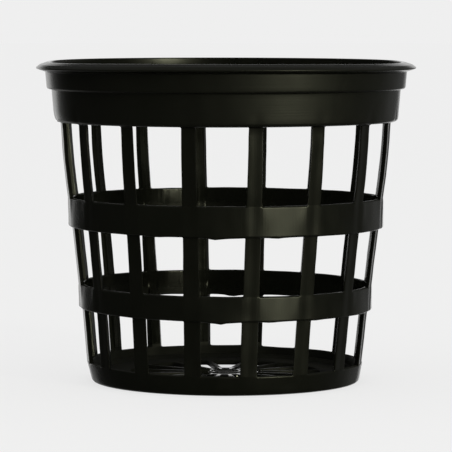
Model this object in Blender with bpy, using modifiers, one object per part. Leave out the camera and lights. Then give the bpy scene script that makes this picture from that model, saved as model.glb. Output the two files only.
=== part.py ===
"""Net pot: a round mesh pot of black plastic, with a flared lip, a two-step collar,
sixteen leaning ribs, two hoops, a base ring and a slotted floor.

Metres, +Z up. The origin is the middle of the foot, on the surface the pot stands on.
The real pot is one moulding. Here each feature of the moulding is its own solid, and
neighbours keep a hairline of CLEARANCE between them.
"""
import math

import bmesh
import bpy
from mathutils import Matrix, Vector

# Pattern
RIB_COUNT = 16
CLEARANCE = 0.0003

# Heights, stacked from the foot up
BASE_RING_HEIGHT = 0.0047
LOWER_WINDOW_HEIGHT = 0.01225
LOWER_HOOP_HEIGHT = 0.0061
MIDDLE_WINDOW_HEIGHT = 0.0133
UPPER_HOOP_HEIGHT = 0.0071
UPPER_WINDOW_HEIGHT = 0.0182
LOWER_COLLAR_HEIGHT = 0.0077
UPPER_COLLAR_HEIGHT = 0.0044
RIM_HEIGHT = 0.0023

# Foot, and the steps outward from it to the lip, in the order in which they stack up.
# A lean is how far a rib's outer face moves outward over one tier of windows.
# An overhang is how far a hoop's lower edge stands out over the ribs behind it.
FOOT_RADIUS = 0.0314
BASE_DRAFT = 0.0012
LOWER_RIB_LEAN = 0.00125
LOWER_HOOP_OVERHANG = 0.00075
MIDDLE_RIB_LEAN = 0.00155
UPPER_HOOP_OVERHANG = 0.00085
UPPER_RIB_LEAN = 0.00185
LOWER_COLLAR_DRAFT = 0.00065
SHOULDER_STEP = 0.0011
UPPER_COLLAR_DRAFT = 0.0004
LIP_REACH = 0.0023

# Walls
BASE_WALL = 0.00125
HOOP_WALL = 0.0011
COLLAR_WALL = 0.0010
SHOULDER_THICKNESS = 0.0012
RIM_WALL = 0.00125

# Lip: its crest stands above a thin nose, and its underside rises to the nose
LIP_DROP = 0.0011
LIP_NOSE = 0.0006
LIP_CREST_WIDTH = 0.0005

# Ribs: they stand proud of a hoop's upper edge, and bow outward in the tall upper windows
RIB_DEPTH = 0.0011
RIB_PROUD = 0.0002
RIB_BOW = 0.00025
RIB_WIDTH_TOP = 0.0032
RIB_WIDTH_FOOT = 0.0039
RIB_INNER_ROUND = 0.0007

# Floor
FLOOR_HEIGHT = 0.0023
FLOOR_THICKNESS = 0.0011
SPOKE_WIDTH = 0.0013
SLOT_OUTER_RADIUS = 0.0205
SLOT_TIP_WIDTH = 0.0008
SLOT_CORNER = 0.0009
HUB_RADIUS = 0.0040
HUB_WALL = 0.0008
HUB_RISE = 0.0006

# Edge rounding
HOOP_EDGE_ROUND = 0.0003
COLLAR_EDGE_ROUND = 0.0009
SHOULDER_EDGE_ROUND = 0.00045
CREST_ROUND = 0.0004
FOOT_EDGE_ROUND = 0.0003

# Facets
TURN_STEPS = 80
ARC_STEPS = 2
MERGE_DISTANCE = 0.00001
SMOOTH_ANGLE = math.radians(35)

# Radii worked out from the foot and the steps
BASE_TOP_RADIUS = FOOT_RADIUS + BASE_DRAFT
LOWER_HOOP_RADIUS = BASE_TOP_RADIUS + LOWER_RIB_LEAN + LOWER_HOOP_OVERHANG
UPPER_HOOP_RADIUS = LOWER_HOOP_RADIUS + RIB_PROUD + MIDDLE_RIB_LEAN + UPPER_HOOP_OVERHANG
COLLAR_BORE_FOOT = UPPER_HOOP_RADIUS + RIB_PROUD + UPPER_RIB_LEAN + CLEARANCE
COLLAR_BORE_TOP = COLLAR_BORE_FOOT + LOWER_COLLAR_DRAFT
COLLAR_FOOT_RADIUS = COLLAR_BORE_FOOT + COLLAR_WALL
COLLAR_WAIST_RADIUS = COLLAR_BORE_TOP + COLLAR_WALL
SHOULDER_RADIUS = COLLAR_WAIST_RADIUS + SHOULDER_STEP
NECK_RADIUS = SHOULDER_RADIUS + UPPER_COLLAR_DRAFT
LIP_RADIUS = NECK_RADIUS + LIP_REACH

# Levels worked out from the stack of heights
Z_BASE_TOP = BASE_RING_HEIGHT
Z_LOWER_HOOP_FOOT = Z_BASE_TOP + LOWER_WINDOW_HEIGHT
Z_LOWER_HOOP_TOP = Z_LOWER_HOOP_FOOT + LOWER_HOOP_HEIGHT
Z_UPPER_HOOP_FOOT = Z_LOWER_HOOP_TOP + MIDDLE_WINDOW_HEIGHT
Z_UPPER_HOOP_TOP = Z_UPPER_HOOP_FOOT + UPPER_HOOP_HEIGHT
Z_COLLAR_FOOT = Z_UPPER_HOOP_TOP + UPPER_WINDOW_HEIGHT
Z_SHOULDER = Z_COLLAR_FOOT + LOWER_COLLAR_HEIGHT
Z_RIM_FOOT = Z_SHOULDER + UPPER_COLLAR_HEIGHT
Z_CREST = Z_RIM_FOOT + RIM_HEIGHT


def rounded(corners):
    """Outline points of a closed polygon of (r, z, rounding radius) corners."""
    points = []
    count = len(corners)
    for index, (r, z, radius) in enumerate(corners):
        here = Vector((r, z))
        if radius <= 0.0:
            points.append(here)
            continue
        before = Vector(corners[index - 1][:2]) - here
        after = Vector(corners[(index + 1) % count][:2]) - here
        half = before.angle(after) / 2
        room = [(0.45 if corners[other][2] > 0.0 else 0.9) * side.length
                for other, side in ((index - 1, before), ((index + 1) % count, after))]
        reach = min(radius / math.tan(half), *room)
        radius = reach * math.tan(half)
        middle = here + (before.normalized() + after.normalized()).normalized() * radius / math.sin(half)
        start = here + before.normalized() * reach - middle
        end = here + after.normalized() * reach - middle
        turn = start.angle_signed(end)
        for step in range(ARC_STEPS + 1):
            arm = start.copy()
            arm.rotate(Matrix.Rotation(-turn * step / ARC_STEPS, 2))
            points.append(middle + arm)
    return points


def plastic(name, colour, roughness):
    """Material of one sub-part: black polypropylene, a little olive where light falls on it."""
    material = bpy.data.materials.new(name + "_plastic")
    material.use_nodes = True
    shader = material.node_tree.nodes["Principled BSDF"]
    shader.inputs["Base Color"].default_value = (*colour, 1.0)
    shader.inputs["Roughness"].default_value = roughness
    shader.inputs["Metallic"].default_value = 0.0
    return material


def shade_round(mesh):
    """Smooth shading that keeps the true edges sharp."""
    mesh.shade_smooth()
    mesh.set_sharp_from_angle(angle=SMOOTH_ANGLE)


def new_object(name, mesh, collection):
    """Link an object that carries the mesh."""
    part = bpy.data.objects.new(name, mesh)
    collection.objects.link(part)
    return part


def turned(name, outline, collection, material, closed=True):
    """A ring or disc: the outline, given down its outer side, turned about Z by a Screw modifier."""
    mesh = bpy.data.meshes.new(name)
    edges = [(index, index + 1) for index in range(len(outline) - 1)]
    if closed:
        edges.append((len(outline) - 1, 0))
    mesh.from_pydata([(r, 0.0, z) for r, z in outline], edges, [])
    mesh.materials.append(material)
    part = new_object(name, mesh, collection)
    screw = part.modifiers.new("turn", "SCREW")
    screw.axis = "Z"
    screw.angle = 2 * math.pi
    screw.steps = TURN_STEPS
    screw.render_steps = TURN_STEPS
    screw.use_merge_vertices = True
    screw.merge_threshold = MERGE_DISTANCE
    screw.use_smooth_shade = True
    return part


def cut(part, cutter):
    """Take the cutter away from the part."""
    boolean = part.modifiers.new("cut_" + cutter.name, "BOOLEAN")
    boolean.operation = "DIFFERENCE"
    boolean.object = cutter


def plate_mesh(name, outline, thickness):
    """Mesh of a flat XY outline, extruded evenly about its plane to the thickness."""
    curve = bpy.data.curves.new(name, "CURVE")
    curve.dimensions = "2D"
    curve.fill_mode = "BOTH"
    curve.extrude = thickness / 2
    spline = curve.splines.new("POLY")
    spline.points.add(len(outline) - 1)
    for point, (x, y) in zip(spline.points, outline):
        point.co = (x, y, 0.0, 1.0)
    spline.use_cyclic_u = True
    guide = new_object(name, curve, bpy.context.scene.collection)
    evaluated = guide.evaluated_get(bpy.context.evaluated_depsgraph_get())
    mesh = bpy.data.meshes.new_from_object(evaluated)
    bpy.data.objects.remove(guide)
    shell = bmesh.new()
    shell.from_mesh(mesh)
    bmesh.ops.remove_doubles(shell, verts=shell.verts, dist=MERGE_DISTANCE)
    shell.to_mesh(mesh)
    shell.free()
    return mesh


def pattern_angles():
    """Angles of the ribs about Z: a window, not a rib, faces each axis."""
    pitch = 2 * math.pi / RIB_COUNT
    return [(index + 0.5) * pitch for index in range(RIB_COUNT)]


def rib_line():
    """Outer face of a rib as (r, z) points from the base ring to the top of the shoulder.

    It stands proud of each hoop's top edge and tucks behind the hoop's lower edge.
    Behind the collar it runs along the collar's bore.
    """
    bow_radius = UPPER_HOOP_RADIUS + RIB_PROUD + UPPER_RIB_LEAN / 2 + RIB_BOW
    return [
        (BASE_TOP_RADIUS, Z_BASE_TOP + CLEARANCE),
        (LOWER_HOOP_RADIUS - LOWER_HOOP_OVERHANG, Z_LOWER_HOOP_FOOT),
        (LOWER_HOOP_RADIUS + RIB_PROUD, Z_LOWER_HOOP_TOP),
        (UPPER_HOOP_RADIUS - UPPER_HOOP_OVERHANG, Z_UPPER_HOOP_FOOT),
        (UPPER_HOOP_RADIUS + RIB_PROUD, Z_UPPER_HOOP_TOP),
        (bow_radius, Z_UPPER_HOOP_TOP + UPPER_WINDOW_HEIGHT / 2),
        (COLLAR_BORE_FOOT - CLEARANCE, Z_COLLAR_FOOT),
        (COLLAR_BORE_TOP - CLEARANCE, Z_SHOULDER),
        (COLLAR_BORE_TOP - CLEARANCE, Z_SHOULDER + SHOULDER_THICKNESS),
    ]


def rib_width(z):
    """Width of a rib's outer face at a height: it grows towards the foot."""
    share = (z - Z_BASE_TOP) / (Z_SHOULDER + SHOULDER_THICKNESS - Z_BASE_TOP)
    return RIB_WIDTH_FOOT + (RIB_WIDTH_TOP - RIB_WIDTH_FOOT) * share


def rib_mesh(name, outward=0.0, inward=0.0, sideways=0.0):
    """One rib, standing along +X, or a cutter for it that is larger by the given margins."""
    outer = [(r + outward, z) for r, z in rib_line()]
    inner = [(r - RIB_DEPTH - inward, z) for r, z in rib_line()]
    mesh = plate_mesh(name, outer + inner[::-1], RIB_WIDTH_FOOT)
    mesh.transform(Matrix.Rotation(math.pi / 2, 4, "X"))
    for vertex in mesh.vertices:
        half = rib_width(vertex.co.z) / 2 + sideways
        vertex.co.y = math.copysign(half, vertex.co.y)
    return mesh


def round_rib_back(mesh):
    """Round the two long edges on the inner side of a rib."""
    line = rib_line()
    shell = bmesh.new()
    shell.from_mesh(mesh)

    def inside(vertex):
        return any(abs(vertex.co.x - (r - RIB_DEPTH)) < MERGE_DISTANCE
                   and abs(vertex.co.z - z) < MERGE_DISTANCE for r, z in line)

    long_edges = [edge for edge in shell.edges
                  if all(inside(vertex) for vertex in edge.verts)
                  and edge.verts[0].co.y * edge.verts[1].co.y > 0
                  and edge.calc_face_angle(0.0) > math.radians(60)]
    bmesh.ops.bevel(shell, geom=long_edges, offset=min(RIB_INNER_ROUND, 0.9 * RIB_DEPTH), segments=2,
                    profile=0.5, affect="EDGES")
    shell.to_mesh(mesh)
    shell.free()


def build_rim(collection):
    """Flared lip: a crest that slopes down and out to a thin nose."""
    inner = NECK_RADIUS - RIM_WALL
    nose_top = Z_CREST - LIP_DROP
    outline = rounded([
        (inner + LIP_CREST_WIDTH, Z_CREST, CREST_ROUND),
        (LIP_RADIUS, nose_top, LIP_NOSE / 3),
        (LIP_RADIUS, nose_top - LIP_NOSE, LIP_NOSE / 3),
        (NECK_RADIUS, Z_RIM_FOOT, 0.0),
        (inner, Z_RIM_FOOT, 0.0),
        (inner, Z_CREST, CREST_ROUND),
    ])
    turned("rim_lip", outline, collection, plastic("rim_lip", (0.017, 0.018, 0.014), 0.38))


def build_upper_collar(collection):
    """Upper band, fitted round the top of the lower band.

    Its underside is the shoulder, which rests on the edge of a hole.
    """
    top = Z_RIM_FOOT - CLEARANCE
    outline = rounded([
        (NECK_RADIUS, top, 0.0),
        (SHOULDER_RADIUS, Z_SHOULDER, SHOULDER_EDGE_ROUND),
        (COLLAR_WAIST_RADIUS + CLEARANCE, Z_SHOULDER, 0.0),
        (NECK_RADIUS - RIM_WALL, top, 0.0),
    ])
    turned("upper_collar", outline, collection, plastic("upper_collar", (0.013, 0.014, 0.011), 0.42))


def build_lower_collar(collection):
    """Lower band, which ends as a ledge inside the shoulder. The ribs run up behind it."""
    ledge = Z_SHOULDER + SHOULDER_THICKNESS
    outline = rounded([
        (COLLAR_WAIST_RADIUS, ledge, 0.0),
        (COLLAR_WAIST_RADIUS, Z_SHOULDER, 0.0),
        (COLLAR_FOOT_RADIUS, Z_COLLAR_FOOT, COLLAR_EDGE_ROUND),
        (COLLAR_BORE_FOOT, Z_COLLAR_FOOT, 0.0),
        (COLLAR_BORE_TOP, Z_SHOULDER, 0.0),
        (COLLAR_BORE_TOP, ledge, 0.0),
    ])
    turned("lower_collar", outline, collection, plastic("lower_collar", (0.013, 0.014, 0.011), 0.42))


def build_hoop(name, radius, foot, top, collection):
    """Upright hoop. Its slots for the ribs are cut by the caller."""
    outline = rounded([
        (radius, top, HOOP_EDGE_ROUND),
        (radius, foot, HOOP_EDGE_ROUND),
        (radius - HOOP_WALL, foot, 0.0),
        (radius - HOOP_WALL, top, 0.0),
    ])
    return turned(name, outline, collection, plastic(name, (0.014, 0.015, 0.012), 0.4))


def build_base_ring(collection):
    """Foot of the pot: the ring that the ribs stand on."""
    outline = rounded([
        (BASE_TOP_RADIUS, Z_BASE_TOP, 0.0),
        (FOOT_RADIUS, 0.0, FOOT_EDGE_ROUND),
        (FOOT_RADIUS - BASE_WALL, 0.0, 0.0),
        (BASE_TOP_RADIUS - BASE_WALL, Z_BASE_TOP, 0.0),
    ])
    turned("base_ring", outline, collection, plastic("base_ring", (0.013, 0.014, 0.011), 0.42))


def slot_outline():
    """One floor slot on +X: straight sides along the two spokes beside it, arcs at both ends."""
    half_pitch = math.pi / RIB_COUNT
    tip_radius = (SPOKE_WIDTH + SLOT_TIP_WIDTH) / (2 * math.sin(half_pitch))
    inner_radius = max(HUB_RADIUS, tip_radius)

    def half_angle(radius):
        return half_pitch - math.asin(SPOKE_WIDTH / 2 / radius)

    outer_half = half_angle(SLOT_OUTER_RADIUS)
    inner_half = half_angle(inner_radius)
    points = []
    for step in range(-2, 3):
        angle = outer_half * step / 2
        points.append((SLOT_OUTER_RADIUS * math.cos(angle), SLOT_OUTER_RADIUS * math.sin(angle)))
    for step in (1, 0, -1):
        angle = inner_half * step
        points.append((inner_radius * math.cos(angle), inner_radius * math.sin(angle)))
    return points


def slot_mesh():
    """Cutter for one floor slot, with rounded outer corners."""
    mesh = plate_mesh("slot", slot_outline(), 3 * (FLOOR_THICKNESS + HUB_RISE))
    shell = bmesh.new()
    shell.from_mesh(mesh)
    corners = [edge for edge in shell.edges
               if abs(edge.verts[0].co.z - edge.verts[1].co.z) > FLOOR_THICKNESS
               and edge.calc_face_angle(0.0) > math.radians(50)
               and edge.verts[0].co.xy.length > SLOT_OUTER_RADIUS - MERGE_DISTANCE]
    bmesh.ops.bevel(shell, geom=corners, offset=SLOT_CORNER, segments=ARC_STEPS, profile=0.5, affect="EDGES")
    shell.to_mesh(mesh)
    shell.free()
    return mesh


def build_floor(collection, cutters):
    """Slotted floor inside the base ring, with a raised ring at its hub."""
    underside = FLOOR_HEIGHT - FLOOR_THICKNESS
    hub_inner = HUB_RADIUS - HUB_WALL

    def fit_radius(z):
        share = z / Z_BASE_TOP
        return FOOT_RADIUS + (BASE_TOP_RADIUS - FOOT_RADIUS) * share - BASE_WALL - CLEARANCE

    outline = [
        (0.0, FLOOR_HEIGHT),
        (hub_inner, FLOOR_HEIGHT),
        (hub_inner, FLOOR_HEIGHT + HUB_RISE),
        (HUB_RADIUS, FLOOR_HEIGHT + HUB_RISE),
        (HUB_RADIUS, FLOOR_HEIGHT),
        (fit_radius(FLOOR_HEIGHT), FLOOR_HEIGHT),
        (fit_radius(underside), underside),
        (0.0, underside),
    ]
    material = plastic("floor_grid", (0.014, 0.015, 0.012), 0.36)
    floor = turned("floor_grid", outline, collection, material, closed=False)
    middle = Matrix.Translation((0.0, 0.0, FLOOR_HEIGHT - FLOOR_THICKNESS / 2))
    pitch = 2 * math.pi / RIB_COUNT
    placements = [middle @ Matrix.Rotation(index * pitch, 4, "Z") for index in range(RIB_COUNT)]
    cut(floor, ring_of_cutters("floor_slots", slot_mesh(), placements, cutters))


def ring_of_cutters(name, mesh, placements, cutters):
    """One cutter object that holds a copy of the mesh at each placement."""
    shell = bmesh.new()
    for placement in placements:
        copy = mesh.copy()
        copy.transform(placement)
        shell.from_mesh(copy)
        bpy.data.meshes.remove(copy)
    joined = bpy.data.meshes.new(name)
    shell.to_mesh(joined)
    shell.free()
    cutter = new_object(name, joined, cutters)
    cutter.hide_render = True
    cutter.display_type = "WIRE"
    return cutter


def build_ribs(collection):
    """Sixteen like ribs, numbered round the pot."""
    mesh = rib_mesh("rib")
    round_rib_back(mesh)
    shade_round(mesh)
    mesh.materials.append(plastic("rib", (0.015, 0.016, 0.013), 0.4))
    for number, angle in enumerate(pattern_angles(), start=1):
        rib = new_object(f"rib_{number:02d}", mesh, collection)
        rib.rotation_euler.z = angle


def build_hoops(collection, cutters):
    """Both hoops, let into the ribs: each rib passes behind the hoop's lower edge in a slot."""
    slot = rib_mesh("rib_slot", outward=CLEARANCE, inward=HOOP_WALL, sideways=CLEARANCE)
    placements = [Matrix.Rotation(angle, 4, "Z") for angle in pattern_angles()]
    rib_slots = ring_of_cutters("rib_slots", slot, placements, cutters)
    upper = build_hoop("upper_hoop", UPPER_HOOP_RADIUS, Z_UPPER_HOOP_FOOT, Z_UPPER_HOOP_TOP, collection)
    lower = build_hoop("lower_hoop", LOWER_HOOP_RADIUS, Z_LOWER_HOOP_FOOT, Z_LOWER_HOOP_TOP, collection)
    cut(upper, rib_slots)
    cut(lower, rib_slots)


def main():
    """Clear the scene and build the pot."""
    for old in list(bpy.data.objects):
        bpy.data.objects.remove(old)
    pot = bpy.data.collections.new("net_pot")
    cutters = bpy.data.collections.new("cutters")
    bpy.context.scene.collection.children.link(pot)
    bpy.context.scene.collection.children.link(cutters)
    build_rim(pot)
    build_upper_collar(pot)
    build_lower_collar(pot)
    build_hoops(pot, cutters)
    build_ribs(pot)
    build_base_ring(pot)
    build_floor(pot, cutters)


main()
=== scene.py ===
"""Net pot in black polypropylene, dressed over its CAD solids: lip, collar, pierced wall, floor and flash."""
import math

import bmesh
import bpy
import numpy as np
from mathutils import Matrix, Vector, noise


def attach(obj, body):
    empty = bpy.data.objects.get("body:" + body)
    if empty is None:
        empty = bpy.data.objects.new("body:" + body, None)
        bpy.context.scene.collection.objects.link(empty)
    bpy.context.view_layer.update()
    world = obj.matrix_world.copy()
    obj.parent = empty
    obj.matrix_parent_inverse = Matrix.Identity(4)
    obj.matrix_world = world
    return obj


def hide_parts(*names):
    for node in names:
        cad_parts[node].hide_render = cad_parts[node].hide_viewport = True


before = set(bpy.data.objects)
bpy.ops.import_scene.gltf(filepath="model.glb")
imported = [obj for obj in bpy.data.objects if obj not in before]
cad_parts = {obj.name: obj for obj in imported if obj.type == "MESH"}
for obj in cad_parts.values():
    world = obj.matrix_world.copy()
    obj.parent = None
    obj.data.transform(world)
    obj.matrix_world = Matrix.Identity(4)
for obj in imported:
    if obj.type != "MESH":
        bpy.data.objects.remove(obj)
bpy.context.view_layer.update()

pot = bpy.data.collections.new("net_pot_moulding")
studio = bpy.data.collections.new("studio")
for collection in (pot, studio):
    bpy.context.scene.collection.children.link(collection)

# Pattern
RIBS = 16
PITCH = 2 * math.pi / RIBS

# Levels from the foot up
BASE_TOP = 0.0047
LOWER_HOOP_FOOT = 0.01695
LOWER_HOOP_TOP = 0.02305
UPPER_HOOP_FOOT = 0.03635
UPPER_HOOP_TOP = 0.04345
COLLAR_FOOT = 0.06165
SHOULDER = 0.06935
LEDGE = 0.07055
NECK = 0.07375
CREST = 0.07605
WINDOWS = ((BASE_TOP, LOWER_HOOP_FOOT), (LOWER_HOOP_TOP, UPPER_HOOP_FOOT), (UPPER_HOOP_TOP, COLLAR_FOOT))

# Outer radii, walls, and how far the hoops overhang the ribs at their lower edges
FOOT_RADIUS = 0.0317
BASE_TOP_RADIUS = 0.0328
LOWER_HOOP_RADIUS = 0.03478
UPPER_HOOP_RADIUS = 0.03735
COLLAR_FOOT_RADIUS = 0.04065
WAIST_RADIUS = 0.0413
SHOULDER_RADIUS = 0.0424
NECK_RADIUS = 0.0428
LIP_RADIUS = 0.0450
BASE_WALL = 0.00125
HOOP_WALL = 0.0011
COLLAR_WALL = 0.0010
RIM_WALL = 0.00125
LOWER_OVERHANG = 0.00075
UPPER_OVERHANG = 0.00085
HOOPS = {"lower_hoop": (LOWER_HOOP_RADIUS, LOWER_HOOP_FOOT, LOWER_HOOP_TOP),
         "upper_hoop": (UPPER_HOOP_RADIUS, UPPER_HOOP_FOOT, UPPER_HOOP_TOP)}

# Ribs: flat outside, sloping sides and a narrower flat back, wider and deeper towards the foot
RIB_HALF_FOOT = 0.00200
RIB_HALF_MIDDLE = 0.00180
RIB_HALF_TOP = 0.00166
RIB_BACK_SHARE = 0.64
SHARE_MARGIN = 0.001
RIB_DEPTH = 0.0010
RIB_DEPTH_LOW = 0.00114
RIB_EDGE_DEPTH = 0.0002
RIB_PROUD = 0.0002
PROUD_FADE = 0.0015
RIB_BOW = 0.00025

# Outer face of a rib as (height, radius), up to where it passes behind the collar
RIB_LINE = (
    (0.0, FOOT_RADIUS),
    (BASE_TOP, BASE_TOP_RADIUS),
    (LOWER_HOOP_FOOT, LOWER_HOOP_RADIUS - LOWER_OVERHANG),
    (LOWER_HOOP_TOP, LOWER_HOOP_RADIUS + RIB_PROUD),
    (UPPER_HOOP_FOOT, UPPER_HOOP_RADIUS - UPPER_OVERHANG),
    (UPPER_HOOP_TOP, UPPER_HOOP_RADIUS + RIB_PROUD),
    (COLLAR_FOOT - 0.0006, 0.03919),
    (COLLAR_FOOT - 0.0002, 0.03930),
    (COLLAR_FOOT, 0.03962),
)

# Inside a hoop, the shares of its height at which a rib's back has sunk into it and over which it sinks
RIB_SUNK_AT = 0.45
RIB_SINKING = 0.3

# Behind the collar: levels of the ribs' run-out, how deep the wall's faces lie in the collar's wall
RUN_OUT_START = 0.0650
RUN_OUT_END = 0.0682
TUCKED_OUTER = 0.0004
TUCKED_INNER = 0.0002
TUCKED_RIB = 0.00005
TUCKED_EDGE = RIB_EDGE_DEPTH * 0.3

# Softened edges and corners
WINDOW_CORNER = 0.0003
OUTER_ROUND = 0.00010
INNER_ROUND = 0.00008
HOOP_ROUND = 0.0004
HOOP_INNER_ROUND = HOOP_ROUND * 0.6
FOOT_ROUND = 0.0006
CORNER_STEPS = 4
CORNER_TURNS = [math.pi / 2 * step / CORNER_STEPS for step in range(CORNER_STEPS + 1)]
CORNER_RISES = [1 - math.cos(turn) for turn in CORNER_TURNS]
CORNER_RUNS = [1 - math.sin(turn) for turn in reversed(CORNER_TURNS[:-1])]

# Rows of the wall: over the foot's rounding, in shares of a hoop's rounding, and behind the collar
FOOT_ROWS = (0.0, 0.00004, 0.00016, 0.00035, FOOT_ROUND)
BASE_BAND_FOOT = 0.0016
ROUND_SHARES = (0.0, 0.06, 0.25, 0.6, 1.0, 1.35)
COLLAR_ROWS = (COLLAR_FOOT + 0.00045, 0.0635, RUN_OUT_START, 0.0663, 0.0673, RUN_OUT_END)

# Columns of the wall: in shares of a rib's half width, of its edge's rounding, and of the open window
FACE_SHARES = (0.0, 0.26, 0.46, RIB_BACK_SHARE, RIB_BACK_SHARE + 0.03)
EDGE_SHARES = (2, 1, 0.3)
OPEN_SHARES = (0.2, 0.45, 0.72, 1.0)
RIB_COLUMNS = len(FACE_SHARES) + len(EDGE_SHARES)

# Sink marks, where a rib behind draws the face in as it cools, and how far up the collar they reach
SINK_DEPTH = 0.00010
SINK_WIDTH = 0.0011
COLLAR_SINK_DEPTH = SINK_DEPTH * 1.2
COLLAR_SINK_REACH = 0.0046

# Floor
FLOOR_TOP = 0.0020
FLOOR_UNDERSIDE = 0.0009
FLOOR_EDGE = 0.0312
FLOOR_ROUND = 0.0002
FLOOR_ROUND_ROW = FLOOR_ROUND * 0.3
SPOKE_HALF = 0.00065
SLOT_INNER = 0.0079
SLOT_OUTER = 0.0228
SLOT_CORNER = 0.0009
SLOT_INNER_ROUND = 0.0003
SLOT_INNER_END = SLOT_INNER + 0.001
HUB_RADIUS = 0.0040
HUB_BORE = HUB_RADIUS - 0.0008
HUB_RISE = 0.0002
HUB_ROUND = 0.00028
HUB_END = HUB_RADIUS + 0.0005
FILLET_START = 0.0292
FILLET_WIDTH = 0.0015
FILLET_RISE = 0.0008

# Rows of the floor: round the axis, beside the hub's bore and its outer face, and out past the slots
AXIS_ROWS = (0.0, 0.0012, 0.0022, 0.0029)
HUB_BORE_ROWS = (-0.0002, -0.0001, 0.0, 0.00012, 0.0003)
HUB_OUTER_ROWS = (-0.00026, -0.0001, 0.0, 0.0001, 0.0004)
RIM_ROWS = (0.0250, 0.0270, FILLET_START, 0.0297, 0.0301, 0.0304, 0.0307, FLOOR_EDGE)

# Columns of the floor: over a spoke, round a slot's corner, and in shares of the open slot, with the most of
# the slot that the corner's columns may take up
SPOKE_COLUMNS = (0.0, SPOKE_HALF * 0.5, SPOKE_HALF - FLOOR_ROUND, SPOKE_HALF - FLOOR_ROUND_ROW, SPOKE_HALF)
CORNER_COLUMNS = [SPOKE_HALF + SLOT_CORNER * run for run in CORNER_RUNS]
SLOT_SHARES = (0.33, 0.66, 1.0)
CORNER_WIDEST = 0.9
CORNER_MOST = 0.8

# How far the moulding is out of true: level, shift to the right, lift, rise to the right, rise to the back,
# rise towards both sides
OUT_OF_TRUE = (
    (0.0, -0.00015, 0.00008, -0.00008, 0.0, 0.0),
    (BASE_TOP, -0.00036, 0.00002, -0.00024, 0.00010, 0.0001),
    (LOWER_HOOP_FOOT, -0.00022, 0.00036, -0.00038, 0.0, 0.0002),
    (LOWER_HOOP_TOP, -0.00018, 0.00023, -0.00025, 0.00018, 0.0),
    (UPPER_HOOP_FOOT, -0.00009, 0.00032, -0.00025, 0.0, 0.0002),
    (UPPER_HOOP_TOP, -0.00006, 0.00035, -0.00008, 0.0, 0.0),
    (COLLAR_FOOT, 0.0, 0.00010, 0.0, 0.0, 0.0),
    (SHOULDER, 0.0, 0.00010, 0.0, 0.0, 0.0),
    (NECK, 0.0, 0.0, 0.0, 0.0, 0.0),
    (CREST, 0.0, -0.00006, -0.00006, 0.0, 0.0),
)

# Uneven edges, with the flash that the mould has left on the hoops' lower ones: level, degrees round from the
# front to the right, half width in degrees, drop. A drop below 0 lifts the edge.
BASE_EDGE = BASE_TOP - 0.0003
UNEVEN_EDGES = (
    (UPPER_HOOP_FOOT, -23.8, 3.4, 0.00020),
    (UPPER_HOOP_FOOT, -2.6, 2.4, 0.00025),
    (UPPER_HOOP_FOOT, 0.8, 6.5, 0.00024),
    (UPPER_HOOP_FOOT, 20.0, 2.4, 0.00020),
    (LOWER_HOOP_FOOT, -3.6, 1.2, 0.00016),
    (LOWER_HOOP_FOOT, -0.4, 1.6, 0.00028),
    (LOWER_HOOP_FOOT, 0.8, 6.5, 0.00026),
    (LOWER_HOOP_FOOT, 18.8, 3.0, 0.00016),
    (LOWER_HOOP_FOOT, 39.0, 3.0, 0.00012),
    (LOWER_HOOP_FOOT, 178.6, 2.6, 0.00034),
    (LOWER_HOOP_FOOT, 176.0, 7.0, 0.00018),
    (LOWER_HOOP_FOOT, 157.0, 12.0, -0.00016),
    (LOWER_HOOP_FOOT, -156.0, 8.0, -0.00012),
    (BASE_EDGE, 155.0, 9.0, 0.00020),
    (BASE_EDGE, 173.0, 4.0, -0.00022),
    (BASE_EDGE, -153.0, 6.0, 0.00012),
)
EDGE_BELOW = 0.0003
EDGE_ABOVE = 0.0006

# Ribs that stand off their pitch: degrees round from the front to the right, shift to the right
OFF_PITCH = ((-33.75, -0.00012), (-146.25, 0.00004), (-56.25, -0.00011), (123.75, 0.00004))
OFF_PITCH_SPREAD = 5.6
OFF_PITCH_LIMIT = 20
OFF_PITCH_TOP = UPPER_HOOP_TOP - 0.002
OFF_PITCH_FADE = 0.008

# Twist of the moulding in radians, by level
TWIST = ((LOWER_HOOP_FOOT, -0.0045), (LOWER_HOOP_TOP, -0.0025), (UPPER_HOOP_FOOT, -0.0012),
         (UPPER_HOOP_TOP, 0.0))

# Slight unevenness of the wall: how far it wanders, over what spacing, and up to where the foot stays level.
# The noise starts from the clock unless it is given a seed.
WANDER = 0.00006
WANDER_SEED = 2
WANDER_SPACING = 0.004
WANDER_START = Vector((3.4, 4.6, 6.2))
LEVEL_FOOT = 0.002

# How far the soft lip sags at the front on either side, and where: degrees from the front, spread
LIP_SAG = 0.0003
LIP_SAG_AT = 66
LIP_SAG_SPREAD = 34

# Wear of the collar's lower edge on its left: depth, how high it reaches, spread in degrees
WEAR_DEPTH = 0.00045
WEAR_REACH = 0.0026
WEAR_SPREAD = 28.0

# Distances within which points are welded: in a finished mesh, and along the borders of its sectors
WELD = 0.000002
SEAM_WELD = 0.000003

# Plastic: colours, scales of the tool marks that run round or up the mould, depths of the grain and the marks
BLACK = (0.0025, 0.0028, 0.0015)
# The lip's black is painted a touch lighter than the rest of the moulding: painted light for the light that
# falls on its sloping top from above.
LIP_BLACK_PAINTED_LIGHTER = (0.0028, 0.0031, 0.0018)
TURNED_MARKS = (900, 40, 2400)
DRAWN_MARKS = (900, 2200, 60)
CORE_MARKS = (300, 1000, 45)
MOULDED = (0.00001, 0.00003)
POLISHED = (0.000002, 0.000006)
BUMP_STRENGTH = 0.5
UNROLLED_RADIUS = 0.038

# Sheen: spread of the cloudy tint and of the roughness, share of the roughness that is left on faces seen
# aslant, and over what range of slant and of upward turn it changes
TINT_SHARES = (0.85, 1.15)
CLOUDINESS = 0.05
ASLANT_SHARE = 0.4
ASLANT = (0.5, 0.8)
LOOKS_UP = (0.5, 0.8)

# Roughness that the core's side adds, and the same for the base ring's inside and the wall above it
CORE_CHANGE = -0.12
WALL_CORE_CHANGE = (0.35, -0.17)
WALL_CHANGE_END = BASE_TOP + 0.0012

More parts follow.
